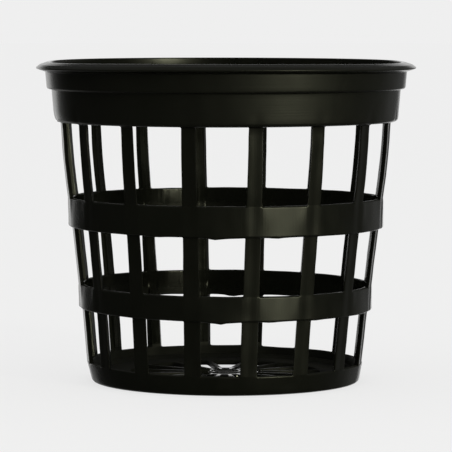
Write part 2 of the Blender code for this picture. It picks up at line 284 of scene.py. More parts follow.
# Roughness added to the floor by distance from the axis: from, to, added at each. First is the gate's spot.
GATE_RADIUS = 0.0029
FLOOR_DULLING = (
    (GATE_RADIUS - 0.0002, GATE_RADIUS, 0.6, 0.0),
    (SLOT_INNER, SLOT_INNER_END, 0.0, 0.40),
    (0.0150, 0.0205, 0.0, 0.42),
)

# Surface midway in the wall's thickness, as (height, outer radius), by which the core's side is told
HALF_WALL = 0.00055
CORE_EDGE = (-0.0001, 0.0002)
CURVE_SPAN = 0.1
WALL_LINE = ((0.0, FOOT_RADIUS), (BASE_TOP, BASE_TOP_RADIUS), (LOWER_HOOP_TOP, LOWER_HOOP_RADIUS),
             (UPPER_HOOP_TOP, UPPER_HOOP_RADIUS), (COLLAR_FOOT, 0.0392), (CREST, NECK_RADIUS))

# Studio: brightness of the backdrop, the ground's glow and its share, daylight, dim room, light from above
PALE = 0.863
GROUND_GLOW = 0.877
GROUND_GLOW_SHARE = 0.8
DAYLIGHT = 0.9
ROOM = 0.022
OVERHEAD = 0.13
OVERHEAD_RISE = (0.3, 0.8)
SPILL_AZIMUTH = 46.0
SPILL_SPREAD = 8.0
SPILL_STRENGTH = 0.18

# Ends of the pale screen, each fading over a range of the way that the gloss looks
SCREEN_LEFT = (-0.60, -0.50)
SCREEN_RIGHT = (0.16, 0.40)
SCREEN_TOP = (0.15, 0.30)
SCREEN_FOOT = (-0.20, -0.13)
SCREEN_FOOT_DIM = 0.3
SCREEN_SIDES = (0.0, 0.4)
SCREEN_MIDDLE = (-0.02, 0.02)

# Height at which the lamp is aimed
AIM_HEIGHT = 0.04

# Camera: picture's width and focal length in pixels, place, and how far it turns and looks down in degrees
PICTURE = 452
FOCAL_PIXELS = 3133.5
SENSOR = 36.0
CAMERA_AWAY = 0.7424
CAMERA_HEIGHT = 0.0901
CAMERA_TO_RIGHT = 1.38
CAMERA_TURN = 0.002
CAMERA_DOWN = 4.108


def eased(t):
    """Smooth step from 0 to 1."""
    t = np.clip(t, 0.0, 1.0)
    return t * t * (3 - 2 * t)


def rounded_off(distance, radius):
    """How far a face has dropped at a distance from an edge that is rounded to the radius."""
    inside = np.clip(radius - distance, 0.0, radius)
    return radius - np.sqrt(radius ** 2 - inside ** 2)


def show(name, mesh, *replaced, slot):
    """Link a finished mesh as a piece of the pot that stands for the named solids."""
    piece = bpy.data.objects.new(name, mesh)
    pot.objects.link(piece)
    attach(piece, "root")
    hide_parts(*replaced)


def node_tree(name, *inputs):
    """Empty Geometry Nodes tree with a geometry input and output and the named inputs."""
    tree = bpy.data.node_groups.new(name, "GeometryNodeTree")
    for label, kind in (("Geometry", "Geometry"), *inputs):
        tree.interface.new_socket(label, in_out="INPUT", socket_type="NodeSocket" + kind)
    tree.interface.new_socket("Geometry", in_out="OUTPUT", socket_type="NodeSocketGeometry")
    return tree, tree.nodes.new("NodeGroupInput"), tree.nodes.new("NodeGroupOutput")


def new_nodes(tree, *kinds):
    """One new node of each kind."""
    return [tree.nodes.new(kind) for kind in kinds]


def join(tree, *links):
    """Link the named output of a node to the named input of another, for each row."""
    for source, output, target, entry in links:
        tree.links.new(source.outputs[output], target.inputs[entry])


def grown(name, tree, start, values):
    """Plain mesh that the tree makes from a starting mesh and the named values."""
    holder = bpy.data.objects.new(name, start)
    bpy.context.scene.collection.objects.link(holder)
    modifier = holder.modifiers.new("nodes", "NODES")
    modifier.node_group = tree
    for item in tree.interface.items_tree:
        if item.in_out == "INPUT" and item.name in values:
            modifier[item.identifier] = values[item.name]
    graph = bpy.context.evaluated_depsgraph_get()
    mesh = bpy.data.meshes.new_from_object(holder.evaluated_get(graph), depsgraph=graph)
    mesh.name = name
    bpy.data.objects.remove(holder)
    return mesh


def turning_tree():
    """Turns a closed profile, drawn as (radius - path radius, height), about the pot's axis."""
    tree, given, out = node_tree(
        "turn_profile", ("Path Radius", "Float"), ("Steps", "Int"), ("Plastic", "Material"))
    profile, path, sweep, realize, paint = new_nodes(
        tree, "GeometryNodeMeshToCurve", "GeometryNodeCurvePrimitiveCircle", "GeometryNodeCurveToMesh",
        "GeometryNodeRealizeInstances", "GeometryNodeSetMaterial")
    join(tree,
         (given, "Geometry", profile, "Mesh"),
         (given, "Path Radius", path, "Radius"),
         (given, "Steps", path, "Resolution"),
         (path, "Curve", sweep, "Curve"),
         (profile, "Curve", sweep, "Profile Curve"),
         (sweep, "Mesh", realize, "Geometry"),
         (realize, "Geometry", paint, "Geometry"),
         (given, "Plastic", paint, "Material"),
         (paint, "Geometry", out, "Geometry"))
    return tree


def round_the_pot_tree():
    """Repeats one sector round the pot's axis and welds the copies along their borders."""
    tree, given, out = node_tree(
        "repeat_round_pot", ("Count", "Int"), ("Pitch", "Float"), ("Weld Distance", "Float"),
        ("Plastic", "Material"))
    points, index, angle, turn, copies, realize, weld, paint = new_nodes(
        tree, "GeometryNodePoints", "GeometryNodeInputIndex", "ShaderNodeMath", "ShaderNodeCombineXYZ",
        "GeometryNodeInstanceOnPoints", "GeometryNodeRealizeInstances", "GeometryNodeMergeByDistance",
        "GeometryNodeSetMaterial")
    angle.operation = "MULTIPLY"
    join(tree,
         (given, "Count", points, "Count"),
         (index, "Index", angle, 0),
         (given, "Pitch", angle, 1),
         (angle, 0, turn, "Z"),
         (points, 0, copies, "Points"),
         (given, "Geometry", copies, "Instance"),
         (turn, 0, copies, "Rotation"),
         (copies, "Instances", realize, "Geometry"),
         (realize, "Geometry", weld, "Geometry"),
         (given, "Weld Distance", weld, "Distance"),
         (weld, "Geometry", paint, "Geometry"),
         (given, "Plastic", paint, "Material"),
         (paint, "Geometry", out, "Geometry"))
    return tree


def coordinates(mesh):
    """Vertex places of a mesh as an array."""
    places = np.empty(len(mesh.vertices) * 3, np.float32)
    mesh.vertices.foreach_get("co", places)
    return places.reshape(-1, 3).astype(float)


def put_back(mesh, places):
    """Write vertex places into a mesh."""
    mesh.vertices.foreach_set("co", places.astype(np.float32).ravel())
    mesh.update()


def from_rib(places):
    """Angle of each place from the middle of the nearest rib."""
    angle = np.arctan2(places[:, 1], places[:, 0])
    return (angle % PITCH) - PITCH / 2


def round_from_front(x, y):
    """Degrees round the pot from its front, to the right."""
    return np.degrees(np.arctan2(x, -y))


def apart(way, where):
    """Degrees from one way round the pot to another, the shorter way."""
    return (way - where + 180) % 360 - 180


def warped(mesh):
    """Shift, lift and tilt the levels of the moulding by what it is out of true."""
    places = coordinates(mesh)
    levels, aside, lift, right, back, sides = np.array(OUT_OF_TRUE).T
    x, y, z = places.T.copy()
    reach = np.maximum(UPPER_HOOP_RADIUS, np.hypot(x, y))
    places[:, 0] += np.interp(z, levels, aside)
    places[:, 2] += np.interp(z, levels, lift) + np.interp(z, levels, sides) * (x / reach) ** 2
    places[:, 2] += np.interp(z, levels, right) * x / reach + np.interp(z, levels, back) * y / reach
    put_back(mesh, places)


def uneven(mesh):
    """Let the lower edges of the hoops and the base ring's top edge wander, with lumps of flash."""
    places = coordinates(mesh)
    x, y, z = places.T.copy()
    way = round_from_front(x, y)
    for level, where, width, drop in UNEVEN_EDGES:
        near = 1 - eased((z - level) / EDGE_ABOVE)
        places[:, 2] -= drop * np.exp(-(apart(way, where) / width) ** 2) * near * (z > level - EDGE_BELOW)
    put_back(mesh, places)


def off_pitch(mesh):
    """Twist the lower wall a little and move a few ribs round the pot, below the upper windows."""
    places = coordinates(mesh)
    x, y, z = places.T.copy()
    twist = np.interp(z, *np.array(TWIST).T)
    places[:, 0] -= y * twist
    places[:, 1] += x * twist
    way = round_from_front(x, y)
    low = 1 - eased((z - OFF_PITCH_TOP) / OFF_PITCH_FADE)
    for where, shift in OFF_PITCH:
        away = apart(way, where)
        turn = shift * np.exp(-(away / OFF_PITCH_SPREAD) ** 4) * low / -y
        places[:, 0] += np.where(np.abs(away) < OFF_PITCH_LIMIT, -y * turn, 0.0)
        places[:, 1] += np.where(np.abs(away) < OFF_PITCH_LIMIT, x * turn, 0.0)
    put_back(mesh, places)


def finish_mesh(mesh, sharp=32.0):
    """Weld, point the faces outwards, and shade smooth up to the true edges."""
    shell = bmesh.new()
    shell.from_mesh(mesh)
    bmesh.ops.remove_doubles(shell, verts=shell.verts, dist=WELD)
    bmesh.ops.dissolve_degenerate(shell, edges=shell.edges, dist=WELD)
    bmesh.ops.recalc_face_normals(shell, faces=shell.faces)
    shell.to_mesh(mesh)
    shell.free()
    mesh.shade_smooth()
    mesh.set_sharp_from_angle(angle=math.radians(sharp))


def shaken(mesh):
    """Slight unevenness of a real moulding: faces and edges wander a little, and the foot stays level."""
    places = coordinates(mesh)
    noise.seed_set(WANDER_SEED)
    wander = np.array([noise.noise_vector(Vector(place) / WANDER_SPACING + WANDER_START) for place in places])
    wander[:, 2] *= eased(places[:, 2] / LEVEL_FOOT)
    put_back(mesh, places + wander * WANDER)


def pierced_sheet(name, outer, inner, cells):
    """Sheet with two faces on one grid of points, open where a cell is 0 and cut across a corner
    where a cell is 2 to 5, with walls round the openings. The first and last column stay open."""
    rows, columns = outer.shape[:2]
    places = np.concatenate([outer.reshape(-1, 3), inner.reshape(-1, 3)])
    inside = rows * columns
    front = []
    for row in range(rows - 1):
        for column in range(columns - 1):
            state = cells[row][column]
            if state == 0:
                continue
            here = row * columns + column
            corners = [here, here + 1, here + columns + 1, here + columns]
            if state > 1:
                corners.pop(state - 2)
            front.append(corners)
    directed = {(face[k], face[(k + 1) % len(face)]) for face in front for k in range(len(face))}
    faces = list(front) + [[inside + corner for corner in reversed(face)] for face in front]
    for a, b in directed:
        border = a % columns == b % columns and a % columns in (0, columns - 1)
        if (b, a) not in directed and not border:
            faces.append([b, a, inside + a, inside + b])
    faces.sort()
    mesh = bpy.data.meshes.new(name)
    mesh.from_pydata(places.tolist(), [], faces)
    return mesh


def cell_columns(half_count):
    """Columns of a sector's cells: how many cells away from the middle, and whether on its second side."""
    return [(half_count - 1 - column, False) for column in range(half_count)] + [
        (column, True) for column in range(half_count)]


def corner_cell(height, radius, beyond, cut):
    """State of a cell near a rounded corner, beyond cells out from the edge: cut is its state on the arc."""
    if height >= radius:
        return 0
    levels = [radius * rise for rise in CORNER_RISES]
    step = next(i for i in range(CORNER_STEPS) if levels[i] <= height < levels[i + 1])
    if beyond + step < CORNER_STEPS - 1:
        return 1
    return cut if beyond + step == CORNER_STEPS - 1 else 0


def rib_face(z):
    """Radius of a rib's outer face at a height, from the base ring up to the collar's underside."""
    share = np.clip((z - UPPER_HOOP_TOP) / (COLLAR_FOOT - UPPER_HOOP_TOP), 0.0, 1.0)
    return np.interp(z, *np.array(RIB_LINE).T) + RIB_BOW * 4 * share * (1 - share)


def rib_half(z):
    """Half the width of a rib's outer face at a height."""
    levels = [BASE_TOP, UPPER_HOOP_FOOT, COLLAR_FOOT]
    return np.interp(z, levels, [RIB_HALF_FOOT, RIB_HALF_MIDDLE, RIB_HALF_TOP])


def rib_depth(z):
    """How far a rib's flat back lies behind its face at a height."""
    return np.interp(z, [LOWER_HOOP_FOOT, LOWER_HOOP_TOP], [RIB_DEPTH_LOW, RIB_DEPTH])


def bore(z):
    """Radius of the collar's inner wall at a height."""
    radii = [COLLAR_FOOT_RADIUS - COLLAR_WALL, WAIST_RADIUS - COLLAR_WALL]
    return np.interp(z, [COLLAR_FOOT, SHOULDER], radii)


def sink(x):
    """Depth of a sink mark at a distance from the middle of a rib."""
    return SINK_DEPTH * math.exp(-(x / SINK_WIDTH) ** 2)


def to_window(x, z):
    """Distance of a place on the wall from the nearest window's rounded outline."""
    across = rib_half(z) + WINDOW_CORNER - abs(x)
    best = np.inf
    for foot, top in WINDOWS:
        along = max(foot + WINDOW_CORNER - z, z - (top - WINDOW_CORNER))
        corner = across > 0 and along > 0
        best = min(best, (math.hypot(across, along) if corner else max(across, along)) - WINDOW_CORNER)
    return max(best, 0.0)


def wall_rows():
    """Heights of the wall's rows, each with the feature that it belongs to."""
    rows = [(level, "base") for level in FOOT_ROWS]

    def band(kind, foot, top, count, soft_foot=True):
        levels = [foot + HOOP_ROUND * share for share in (ROUND_SHARES if soft_foot else ROUND_SHARES[:1])]
        middle = np.linspace(levels[-1], top - HOOP_ROUND * ROUND_SHARES[-1], count + 1)[1:-1]
        levels += list(middle) + [top - HOOP_ROUND * share for share in reversed(ROUND_SHARES)]
        rows.extend((level, kind) for level in levels)

    def tier(foot, top, count):
        low = [foot + WINDOW_CORNER * rise for rise in CORNER_RISES]
        high = [top - WINDOW_CORNER * rise for rise in reversed(CORNER_RISES)]
        middle = np.linspace(low[-1], high[0], count + 1)[1:-1]
        rows.extend((level, "rib") for level in low + list(middle) + high)

    band("base", BASE_BAND_FOOT, BASE_TOP, 3, soft_foot=False)
    tier(*WINDOWS[0], 6)
    band("lower_hoop", LOWER_HOOP_FOOT, LOWER_HOOP_TOP, 6)
    tier(*WINDOWS[1], 6)
    band("upper_hoop", UPPER_HOOP_FOOT, UPPER_HOOP_TOP, 6)
    tier(*WINDOWS[2], 10)
    rows.extend((level, "collar") for level in COLLAR_ROWS)
    return rows


def wall_columns(z):
    """Distances of the wall's columns from the middle of a rib, out to the middle of a window."""
    half = float(rib_half(z))
    reach = PITCH / 2 * float(rib_face(min(z, COLLAR_FOOT)))
    columns = [half * share for share in FACE_SHARES]
    columns += [half - OUTER_ROUND * share for share in EDGE_SHARES] + [half]
    columns += [half + WINDOW_CORNER * run for run in CORNER_RUNS]
    columns += [half + WINDOW_CORNER + (reach - half - WINDOW_CORNER) * share for share in OPEN_SHARES]
    return columns


def wall_radii(x, z, kind):
    """Outer and inner radius of the wall at a place."""
    half = float(rib_half(z))
    face = float(rib_face(min(z, COLLAR_FOOT)))
    across = min(abs(x) / half, 1.0)
    slope = min((1 - across) / (1 - RIB_BACK_SHARE), 1.0)
    depth = RIB_EDGE_DEPTH + (float(rib_depth(z)) - RIB_EDGE_DEPTH) * slope
    if kind == "collar":
        inner = float(bore(z))
        gone = float(eased((z - RUN_OUT_START) / (RUN_OUT_END - RUN_OUT_START)))
        rib_back = inner + TUCKED_RIB - (depth - TUCKED_EDGE) * (1 - gone) + TUCKED_INNER * gone
        return inner + TUCKED_OUTER, rib_back if abs(x) <= half else inner + TUCKED_INNER
    edge = to_window(x, z)
    if kind == "rib":
        outer = face - sink(x) - float(rounded_off(edge, OUTER_ROUND))
        return outer, face - depth + float(rounded_off(edge, INNER_ROUND))
    soft = float(rounded_off(edge, HOOP_ROUND))
    soft_back = float(rounded_off(edge, HOOP_INNER_ROUND))
    if kind == "base":
        outer = face - float(rounded_off(z, FOOT_ROUND))
        back = face - BASE_WALL + float(rounded_off(z, INNER_ROUND))
        return outer - soft, back + soft_back
    radius, foot, top = HOOPS[kind]
    beside = 1 - float(eased((abs(x) - half - WINDOW_CORNER) / PROUD_FADE))
    outer = radius + RIB_PROUD * beside * float(eased((z - foot) / (top - foot))) - sink(x)
    outer -= max(soft, float(rounded_off(z - foot, HOOP_ROUND)))
    back = radius - HOOP_WALL + soft_back
    if across <= RIB_BACK_SHARE + SHARE_MARGIN:
        emerged = float(eased((foot + RIB_SUNK_AT * (top - foot) - z) / (RIB_SINKING * (top - foot))))
        back += min(face - depth - back, 0.0) * emerged
    return outer, back


def wall_cell(away, right, z, kind, z_next, kind_next):
    """State of one cell of the wall, away cells from its rib's middle, between two rows."""
    beyond = away - RIB_COLUMNS
    if beyond < 0 or (kind == kind_next and kind not in ("rib", "collar")):
        return 1
    if kind != kind_next or kind == "collar":
        return 1 if beyond < CORNER_STEPS and kind != "collar" else 0
    foot, top = next(window for window in WINDOWS if window[0] <= z < window[1])
    middle = (z + z_next) / 2
    return (corner_cell(middle - foot, WINDOW_CORNER, beyond, 4 if right else 5)
            or corner_cell(top - middle, WINDOW_CORNER, beyond, 3 if right else 2))


def wall_sector():
    """One sixteenth of the pierced wall, with its rib in the middle."""
    rows = wall_rows()
    outer, inner = [], []
    for z, kind in rows:
        columns = wall_columns(z)
        row = [-x for x in columns[:0:-1]] + columns
        face = float(rib_face(min(z, COLLAR_FOOT)))
        radii = [wall_radii(x, z, kind) for x in row]
        turns = [PITCH / 2 + x / face for x in row]
        outer.append([(r * math.cos(turn), r * math.sin(turn), z) for (r, _), turn in zip(radii, turns)])
        inner.append([(r * math.cos(turn), r * math.sin(turn), z) for (_, r), turn in zip(radii, turns)])
    cells = [[wall_cell(away, right, *row, *next_row) for away, right in cell_columns(len(columns) - 1)]
             for row, next_row in zip(rows, rows[1:])]
    return pierced_sheet("wall_sector", np.array(outer), np.array(inner), cells)


def slot_distance(x, r):
    """Distance of a place on the floor from the nearest slot's outline, x from the spoke's middle. The slot
    is rounded at its outer end and almost square at its inner one."""
    outer_end = r > SLOT_INNER_END
    across = SPOKE_HALF + SLOT_CORNER - abs(x)
    along = max(SLOT_INNER + SLOT_INNER_ROUND - r, r - (SLOT_OUTER - SLOT_CORNER))
    if across > 0 and along > 0 and outer_end:
        return max(math.hypot(across, along) - SLOT_CORNER, 0.0)
    return max(across - SLOT_CORNER, along - (SLOT_CORNER if outer_end else SLOT_INNER_ROUND), 0.0)


def floor_radii():
    """Radii of the floor's rows, closer together over its edges and roundings."""
    radii = list(AXIS_ROWS)
    radii += [HUB_BORE + step for step in HUB_BORE_ROWS]
    radii += [HUB_RADIUS + step for step in HUB_OUTER_ROWS]
    radii += [SLOT_INNER - FLOOR_ROUND, SLOT_INNER - FLOOR_ROUND_ROW, SLOT_INNER]
    radii += list(np.linspace(SLOT_INNER, SLOT_OUTER - SLOT_CORNER, 9)[1:-1])
    radii += [SLOT_OUTER - SLOT_CORNER * rise for rise in reversed(CORNER_RISES)]
    return radii + [SLOT_OUTER + FLOOR_ROUND_ROW, SLOT_OUTER + FLOOR_ROUND, *RIM_ROWS]


def floor_angles(r):
    """Angles of the floor's columns at a radius, from the middle of a spoke to the middle of a slot."""
    reach = max(r, SLOT_INNER)
    widest = reach * math.sin(PITCH / 2) * CORNER_WIDEST
    near = [math.asin(x / reach) for x in SPOKE_COLUMNS]
    corner = [math.asin(min(x, widest) / reach) for x in CORNER_COLUMNS]
    edge = near[-1]
    scale = min(1.0, CORNER_MOST * (PITCH / 2 - edge) / (corner[-1] - edge))
    corner = [edge + (angle - edge) * scale for angle in corner]
    last = corner[-1]
    return near + corner + [last + (PITCH / 2 - last) * share for share in SLOT_SHARES]


def floor_heights(x, r):
    """Top and underside of the floor at a radius, x from the spoke's middle."""
    drop = float(rounded_off(slot_distance(x, r), FLOOR_ROUND)) if r > HUB_END else 0.0
    top = FLOOR_TOP - drop
    if HUB_BORE <= r <= HUB_RADIUS:
        edge = min(r - HUB_BORE, HUB_RADIUS - r)
        top = FLOOR_TOP + HUB_RISE - float(rounded_off(edge, HUB_ROUND)) * HUB_RISE / HUB_ROUND
    if r > FILLET_START:
        top += FILLET_RISE * float(eased((r - FILLET_START) / FILLET_WIDTH)) ** 2
    return top, FLOOR_UNDERSIDE + drop


def floor_cell(away, right, r):
    """State of one cell of the floor, away cells from its spoke's middle, at a radius."""
    beyond = away - (len(SPOKE_COLUMNS) - 1)
    if beyond < 0 or r < SLOT_INNER or r > SLOT_OUTER:
        return 1
    return corner_cell(SLOT_OUTER - r, SLOT_CORNER, beyond, 3 if right else 2)


def floor_sector():
    """One sixteenth of the floor, with its spoke in the middle. Its columns run so that it faces up."""
    radii = floor_radii()
    top, underside = [], []
    for r in radii:
        angles = floor_angles(r)
        upper_row, lower_row = [], []
        for angle in angles[:0:-1] + [-angle for angle in angles]:
            turn = PITCH / 2 + angle
            upper, lower = floor_heights(max(r, SLOT_INNER) * math.sin(angle), r)
            upper_row.append((r * math.cos(turn), r * math.sin(turn), upper))
            lower_row.append((r * math.cos(turn), r * math.sin(turn), lower))
        top.append(upper_row)
        underside.append(lower_row)
    cells = [[floor_cell(away, right, (r + r_next) / 2) for away, right in cell_columns(len(angles) - 1)]
             for r, r_next in zip(radii, radii[1:])]
    return pierced_sheet("floor_sector", np.array(top), np.array(underside), cells)


def arc_corner(before, corner, after, radius, steps):
    """Points of a rounded corner between two sides of a profile."""
    corner = Vector(corner)
    one = Vector(before) - corner
    two = Vector(after) - corner
    half = one.angle(two) / 2
    reach = min(radius / math.tan(half), 0.9 * one.length, 0.9 * two.length)
    radius = reach * math.tan(half)
    middle = corner + (one.normalized() + two.normalized()).normalized() * radius / math.sin(half)
    start = corner + one.normalized() * reach - middle
    end = corner + two.normalized() * reach - middle
    turn = start.angle_signed(end)
    points = []
    for step in range(steps + 1):
        arm = start.copy()
        arm.rotate(Matrix.Rotation(-turn * step / steps, 2))
        points.append(middle + arm)
    return points


def profile_mesh(name, corners, path_radius, spacing=0.0012):
    """Closed profile from (radius, height, rounding) corners, with its long sides divided."""
    outline = []
    count = len(corners)
    for index, (r, z, rounding) in enumerate(corners):
        if rounding > 0:
            before, after = corners[index - 1][:2], corners[(index + 1) % count][:2]
            outline += arc_corner(before, (r, z), after, rounding, 5)
        else:
            outline.append(Vector((r, z)))
    points = []
    for here, there in zip(outline, outline[1:] + outline[:1]):
        parts = max(1, math.ceil((there - here).length / spacing))
        points += [here.lerp(there, step / parts) for step in range(parts)]
    edges = [(index, (index + 1) % len(points)) for index in range(len(points))]
    mesh = bpy.data.meshes.new(name)
    mesh.from_pydata([(point.x - path_radius, -point.y, 0.0) for point in points], edges, [])
    return mesh


def plug(tree, node, **values):
    """Give each named input of a node a plain value or another node's output."""
    for label, value in values.items():
        entry = node.inputs[label.replace("_", " ")]
        if isinstance(value, bpy.types.NodeSocket):
            tree.links.new(value, entry)
        else:
            entry.default_value = value


def worked(tree, operation, *values):
    """Result of a math node on sockets or plain numbers."""
    node = tree.nodes.new("ShaderNodeMath")
    node.operation = operation
    for entry, value in zip(node.inputs, values):
        if isinstance(value, bpy.types.NodeSocket):
            tree.links.new(value, entry)
        else:
            entry.default_value = value
    return node.outputs[0]


def mixed(tree, factor, first, second, kind="FLOAT"):
    """Mix of two values or colours."""
    node = tree.nodes.new("ShaderNodeMix")
    node.data_type = kind
    plug(tree, node, Factor=factor, A=first, B=second)
    return node.outputs["Result"]


def split(tree, vector):
    """X, Y and Z of a vector."""
    node = tree.nodes.new("ShaderNodeSeparateXYZ")
    tree.links.new(vector, node.inputs[0])
    return [node.outputs[axis] for axis in "XYZ"]


def joined(tree, **parts):
    """Vector of the given parts."""
    node = tree.nodes.new("ShaderNodeCombineXYZ")
    plug(tree, node, **parts)
    return node.outputs[0]


def wrapped(tree):
    """Place, and coordinates that follow the pot's round wall: radius, way round and height, in metres."""
    place = tree.nodes.new("ShaderNodeTexCoord").outputs["Object"]
    x, y, z = split(tree, place)
    radius = tree.nodes.new("ShaderNodeVectorMath")
    radius.operation = "LENGTH"
    tree.links.new(joined(tree, X=x, Y=y), radius.inputs[0])
    way = worked(tree, "MULTIPLY", worked(tree, "ARCTAN2", y, x), UNROLLED_RADIUS)
    return place, joined(tree, X=radius.outputs["Value"], Y=way, Z=z)


def stretched_noise(tree, vector, scale, detail, seed):
    """Noise on a coordinate that is scaled by its own factor along each axis."""
    mapping, texture = new_nodes(tree, "ShaderNodeMapping", "ShaderNodeTexNoise")
    plug(tree, mapping, Vector=vector, Scale=scale, Location=(seed, seed * 1.3, seed * 0.7))
    plug(tree, texture, Vector=mapping.outputs[0], Scale=1.0, Detail=detail)
    return texture.outputs["Fac"]


def remapped(tree, value, low, high, from_low=0.3, from_high=0.7):
    """A value spread from one range to another."""
    node = tree.nodes.new("ShaderNodeMapRange")
    plug(tree, node, Value=value, From_Min=from_low, From_Max=from_high, To_Min=low, To_Max=high)
    return node.outputs["Result"]


def bumped(tree, height, distance, **under):
    """Normal that a height bumps, over the normal under it if there is one."""
    node = tree.nodes.new("ShaderNodeBump")
    plug(tree, node, Height=height, Distance=distance, Strength=BUMP_STRENGTH, **under)
    return node.outputs[0]


def inner_side(tree, radius, height):
    """1 on the faces that the core of the mould made, 0 on the cavity's: told apart by their radius."""
    face = tree.nodes.new("ShaderNodeFloatCurve")
    curve = face.mapping.curves[0]
    points = [(z / CURVE_SPAN, (r - HALF_WALL) / CURVE_SPAN) for z, r in WALL_LINE]
    curve.points[0].location = points[0]
    curve.points[1].location = points[-1]
    for place in points[1:-1]:
        curve.points.new(*place)
    for point in curve.points:
        point.handle_type = "VECTOR"
    face.mapping.update()
    plug(tree, face, Value=worked(tree, "MULTIPLY", height, 1 / CURVE_SPAN))
    middle = worked(tree, "MULTIPLY", face.outputs["Value"], CURVE_SPAN)
    return remapped(tree, worked(tree, "SUBTRACT", middle, radius), 0.0, 1.0, *CORE_EDGE)


def new_material(name):
    """Material with its node tree and its shader."""
    material = bpy.data.materials.new(name)
    material.use_nodes = True
    return material, material.node_tree, material.node_tree.nodes["Principled BSDF"]


def black_polypropylene(name, colour, roughness, marks, seed,
                        relief=MOULDED, streaks=0.0, upward=0.0, dulling=()):
    """Satin black plastic: cloudy sheen, fine grain, and tool marks that run round or up the mould.

    relief holds the depths of the grain and the marks, streaks is the depth of the drawing marks on the
    core's side, upward makes faces that look up duller by that factor and the base ring's inside dull too,
    and dulling adds roughness by the distance from the axis."""
    material, tree, shader = new_material(name)
    place, round_wall = wrapped(tree)
    radius, _, height = split(tree, round_wall)
    clouds = stretched_noise(tree, place, (90, 90, 90), 3.0, seed)
    darker, lighter = [(*[channel * share for channel in colour], 1.0) for share in TINT_SHARES]
    tint = mixed(tree, remapped(tree, clouds, 0.0, 1.0), darker, lighter, "RGBA")
    patches = stretched_noise(tree, place, (260, 260, 140), 4.0, seed + 5)
    cloudy = remapped(tree, patches, roughness - CLOUDINESS, roughness + CLOUDINESS)
    inside = inner_side(tree, radius, height)
    core_change = CORE_CHANGE
    facing = tree.nodes.new("ShaderNodeLayerWeight")
    facing.inputs["Blend"].default_value = 0.5
    sheen = remapped(tree, facing.outputs["Facing"], 1.0, ASLANT_SHARE, *ASLANT)
    if upward:
        core_change = remapped(tree, height, *WALL_CORE_CHANGE, BASE_TOP, WALL_CHANGE_END)
        looks_up = split(tree, tree.nodes.new("ShaderNodeNewGeometry").outputs["Normal"])[2]
        sheen = worked(tree, "MAXIMUM", sheen, remapped(tree, looks_up, 0.0, upward, *LOOKS_UP))
    change = worked(tree, "MULTIPLY", inside, core_change)
    rough = worked(tree, "MULTIPLY", worked(tree, "ADD", cloudy, change), sheen)
    for start, end, first, last in dulling:
        rough = worked(tree, "ADD", rough, remapped(tree, radius, first, last, start, end))
    grain = stretched_noise(tree, place, (2600, 2600, 2600), 1.0, seed + 13)
    lines = stretched_noise(tree, round_wall, marks, 2.0, seed + 9)
    normal = bumped(tree, lines, relief[1], Normal=bumped(tree, grain, relief[0]))
    if streaks:
        waves = stretched_noise(tree, round_wall, CORE_MARKS, 1.0, seed + 21)
        normal = bumped(tree, worked(tree, "MULTIPLY", waves, inside), streaks, Normal=normal)
    plug(tree, shader, Metallic=0.0, IOR=1.49, Specular_IOR_Level=0.4, Specular_Tint=(0.98, 1.0, 0.80, 1.0),
         Base_Color=tint, Roughness=rough, Normal=normal)
    return material


turned_plastic = black_polypropylene(
    "turned_black_polypropylene", BLACK, 0.48, TURNED_MARKS, 3.0, streaks=0.00007)
# The lip gets the lighter black, painted light from above on its top; the plastic is the same as the rest.
lip_plastic_painted_lighter = black_polypropylene(
    "lip_black_polypropylene_painted_lighter", LIP_BLACK_PAINTED_LIGHTER, 0.42, TURNED_MARKS, 7.0)
wall_plastic = black_polypropylene(
    "wall_black_polypropylene", BLACK, 0.39, DRAWN_MARKS, 11.0, streaks=0.00009, upward=1.6)
floor_plastic = black_polypropylene(
    "floor_black_polypropylene", BLACK, 0.16, DRAWN_MARKS, 15.0, relief=POLISHED, dulling=FLOOR_DULLING)


def build_lip(turning):
    """Flared lip: crest, gently sloping top and rounded nose, with a tongue down inside the collar's wall."""
    inner = NECK_RADIUS - RIM_WALL
    path = 0.0430
    profile = profile_mesh("lip_profile", [
        (inner + 0.0007, CREST, 0.0008),
        (LIP_RADIUS - 0.0010, CREST - 0.00058, 0.0012),
        (LIP_RADIUS + 0.0002, CREST - 0.00148, 0.00025),
        (NECK_RADIUS, NECK, 0.0),
        (NECK_RADIUS - 0.0004, NECK - 0.0004, 0.0),
        (inner + 0.0004, NECK - 0.0004, 0.0),
        (inner + 0.00005, NECK, 0.0),
        (inner, CREST, 0.0003),
    ], path)
    mesh = grown("lip", turning, profile, {"Path Radius": path, "Steps": 256, "Plastic": lip_plastic_painted_lighter})
    warped(mesh)
    places = coordinates(mesh)
    way = np.abs(round_from_front(places[:, 0], places[:, 1]))
    places[:, 2] -= LIP_SAG * np.exp(-((way - LIP_SAG_AT) / LIP_SAG_SPREAD) ** 2)
    put_back(mesh, places)
    finish_mesh(mesh)
    show("lip", mesh, "rim_lip", slot="rim")


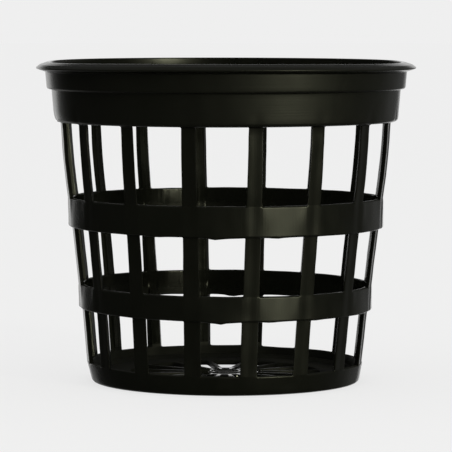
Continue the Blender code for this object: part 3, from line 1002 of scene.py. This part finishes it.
def build_collar(turning):
    """Collar of two bands with the shoulder between them and a ledge inside it, with sink marks and wear."""
    path = 0.0415
    profile = profile_mesh("collar_profile", [
        (NECK_RADIUS, NECK, 0.0),
        (SHOULDER_RADIUS, SHOULDER, 0.00055),
        (WAIST_RADIUS, SHOULDER, 0.00035),
        (COLLAR_FOOT_RADIUS, COLLAR_FOOT, 0.0012),
        (COLLAR_FOOT_RADIUS - COLLAR_WALL, COLLAR_FOOT, 0.0),
        (WAIST_RADIUS - COLLAR_WALL, SHOULDER, 0.0),
        (WAIST_RADIUS - COLLAR_WALL, LEDGE, 0.0002),
        (SHOULDER_RADIUS - RIM_WALL + 0.0002, LEDGE, 0.0002),
        (NECK_RADIUS - RIM_WALL, NECK, 0.0),
    ], path, spacing=0.0009)
    mesh = grown("collar", turning, profile, {"Path Radius": path, "Steps": 384, "Plastic": turned_plastic})
    places = coordinates(mesh)
    x, y, z = places.T
    radius = np.hypot(x, y)
    above_foot = z - COLLAR_FOOT
    outside = radius > bore(z) + COLLAR_WALL * 0.5
    deep = 1 - eased(above_foot / COLLAR_SINK_REACH)
    drawn_in = COLLAR_SINK_DEPTH * np.exp(-(from_rib(places) * radius / SINK_WIDTH) ** 2) * deep * outside
    to_left = np.degrees(np.arctan2(y, -x))
    worn = np.clip(1 - above_foot / WEAR_REACH, 0, 1) ** 2 * np.exp(-(to_left / WEAR_SPREAD) ** 2)
    drawn_in += WEAR_DEPTH * worn * outside
    places[:, :2] *= (1 - drawn_in / radius)[:, None]
    put_back(mesh, places)
    warped(mesh)
    finish_mesh(mesh)
    show("collar", mesh, "upper_collar", "lower_collar", slot="collar")


def repeated(name, repeating, sector, plastic):
    """Mesh of one sector repeated round the pot."""
    values = {"Count": RIBS, "Pitch": PITCH, "Weld Distance": SEAM_WELD, "Plastic": plastic}
    return grown(name, repeating, sector, values)


def build_wall(repeating):
    """Pierced wall: base ring, ribs and hoops in one moulding."""
    mesh = repeated("pierced_wall", repeating, wall_sector(), wall_plastic)
    finish_mesh(mesh, 38.0)
    shaken(mesh)
    uneven(mesh)
    off_pitch(mesh)
    warped(mesh)
    ribs = [f"rib_{number:02d}" for number in range(1, RIBS + 1)]
    show("pierced_wall", mesh, "upper_hoop", "lower_hoop", "base_ring", *ribs, slot="rib")


def build_floor(repeating):
    """Slotted floor with its spokes and the raised ring at its hub."""
    mesh = repeated("slotted_floor", repeating, floor_sector(), floor_plastic)
    warped(mesh)
    finish_mesh(mesh)
    show("slotted_floor", mesh, "floor_grid", slot="floor")


def pale_ground():
    """Pale card: mostly plain white to the camera, so that the pot's shadow on it stays faint."""
    material, tree, paint = new_material("pale_ground")
    glow, mix, path = new_nodes(tree, "ShaderNodeEmission", "ShaderNodeMixShader", "ShaderNodeLightPath")
    plug(tree, paint, Base_Color=(PALE, PALE, PALE, 1.0), Roughness=1.0, Specular_IOR_Level=0.0)
    plug(tree, glow, Color=(GROUND_GLOW, GROUND_GLOW, GROUND_GLOW, 1.0))
    ray = path.outputs
    seen = worked(tree, "MAXIMUM", ray["Is Camera Ray"], ray["Is Transmission Ray"])
    seen = worked(tree, "MAXIMUM", seen, ray["Is Glossy Ray"])
    tree.links.new(worked(tree, "MULTIPLY", seen, GROUND_GLOW_SHARE), mix.inputs["Fac"])
    join(tree, (paint, 0, mix, 1), (glow, 0, mix, 2), (mix, 0, tree.nodes["Material Output"], "Surface"))
    return material


def glow_toward(tree, way, azimuth, spread, strength):
    """Soft patch of light round a level direction, its azimuth counted to the right from behind the pot."""
    toward = tree.nodes.new("ShaderNodeVectorMath")
    toward.operation = "DOT_PRODUCT"
    toward.inputs[1].default_value = (math.sin(math.radians(azimuth)), math.cos(math.radians(azimuth)), 0.0)
    tree.links.new(way, toward.inputs[0])
    facing = worked(tree, "MAXIMUM", toward.outputs["Value"], 0.0)
    return worked(tree, "MULTIPLY", worked(tree, "POWER", facing, spread), strength)


def pale_screen(tree, right, back, up):
    """Pale screen behind the pot. It ends low above it, reaches further to its left than to its right, and
    is dim at the foot of its left half."""
    left_end = remapped(tree, right, 0.0, 1.0, *SCREEN_LEFT)
    right_end = remapped(tree, right, 1.0, 0.0, *SCREEN_RIGHT)
    behind = remapped(tree, back, 0.0, PALE, *SCREEN_SIDES)
    level = remapped(tree, up, 1.0, 0.0, *SCREEN_TOP)
    right_half = remapped(tree, right, 0.0, 1.0, *SCREEN_MIDDLE)
    foot = worked(tree, "MAXIMUM", right_half, remapped(tree, up, SCREEN_FOOT_DIM, 1.0, *SCREEN_FOOT))
    across = worked(tree, "MULTIPLY", left_end, right_end)
    level = worked(tree, "MULTIPLY", level, foot)
    return worked(tree, "MULTIPLY", across, worked(tree, "MULTIPLY", behind, level))


def studio_world():
    """Plain white light. Camera and transmission rays see the pale backdrop all round, and gloss sees the
    pale screen behind the pot, with the dim room beside, before and above it."""
    world = bpy.data.worlds.new("studio")
    bpy.context.scene.world = world
    world.use_nodes = True
    tree = world.node_tree
    ray = tree.nodes.new("ShaderNodeLightPath").outputs
    way = tree.nodes.new("ShaderNodeTexCoord").outputs["Generated"]
    right, back, up = split(tree, way)
    spill = glow_toward(tree, way, SPILL_AZIMUTH, SPILL_SPREAD, SPILL_STRENGTH)
    overhead = remapped(tree, up, 0.0, OVERHEAD, *OVERHEAD_RISE)
    around = worked(tree, "ADD", worked(tree, "ADD", spill, overhead), ROOM)
    room = worked(tree, "MAXIMUM", pale_screen(tree, right, back, up), around)
    lit = mixed(tree, ray["Is Glossy Ray"], DAYLIGHT, room)
    through = worked(tree, "MAXIMUM", ray["Is Camera Ray"], ray["Is Transmission Ray"])
    plug(tree, tree.nodes["Background"], Color=(1.0, 1.0, 1.0, 1.0), Strength=mixed(tree, through, lit, PALE))


def lamp(name, azimuth, elevation, distance, size, watts, colour):
    """Soft box aimed at the pot's middle, its azimuth counted to the right from the front."""
    data = bpy.data.lights.new(name, "AREA")
    data.shape = "RECTANGLE"
    data.size, data.size_y = size
    data.energy = watts
    data.color = colour
    box = bpy.data.objects.new(name, data)
    studio.objects.link(box)
    around, up = math.radians(azimuth), math.radians(elevation)
    aim = Vector((math.sin(around) * math.cos(up), -math.cos(around) * math.cos(up), math.sin(up)))
    middle = Vector((0.0, 0.0, AIM_HEIGHT))
    turned = aim.to_track_quat("Z", "Y").to_matrix().to_4x4()
    box.matrix_world = Matrix.Translation(middle + aim * distance) @ turned


def photo_camera():
    """Camera of the photo: a long lens, a little above the pot and a little to its right."""
    camera = bpy.data.cameras.new("photo_camera")
    camera.sensor_width = SENSOR
    camera.lens = FOCAL_PIXELS / PICTURE * SENSOR
    camera.clip_start = 0.01
    camera.clip_end = 50.0
    view = bpy.data.objects.new("photo_camera", camera)
    studio.objects.link(view)
    across = math.radians(CAMERA_TO_RIGHT)
    view.matrix_world = (
        Matrix.Translation((CAMERA_AWAY * math.sin(across), -CAMERA_AWAY * math.cos(across), CAMERA_HEIGHT))
        @ Matrix.Rotation(across + math.radians(CAMERA_TURN), 4, "Z")
        @ Matrix.Rotation(math.radians(90 - CAMERA_DOWN), 4, "X"))
    bpy.context.scene.camera = view


def build_studio():
    """Pale ground, plain white world, one soft box and the camera."""
    ground = bpy.data.meshes.new("ground")
    shell = bmesh.new()
    bmesh.ops.create_circle(shell, cap_ends=True, radius=6.0, segments=96)
    shell.to_mesh(ground)
    shell.free()
    ground.materials.append(pale_ground())
    floor = bpy.data.objects.new("ground", ground)
    studio.objects.link(floor)
    floor.visible_glossy = False
    studio_world()
    lamp("key", azimuth=42, elevation=10, distance=1.1, size=(0.14, 0.45), watts=4.9,
         colour=(1.0, 0.99, 0.84))
    photo_camera()
    bpy.context.scene.view_settings.view_transform = "Standard"


turning = turning_tree()
repeating = round_the_pot_tree()
build_lip(turning)
build_collar(turning)
build_wall(repeating)
build_floor(repeating)
build_studio()
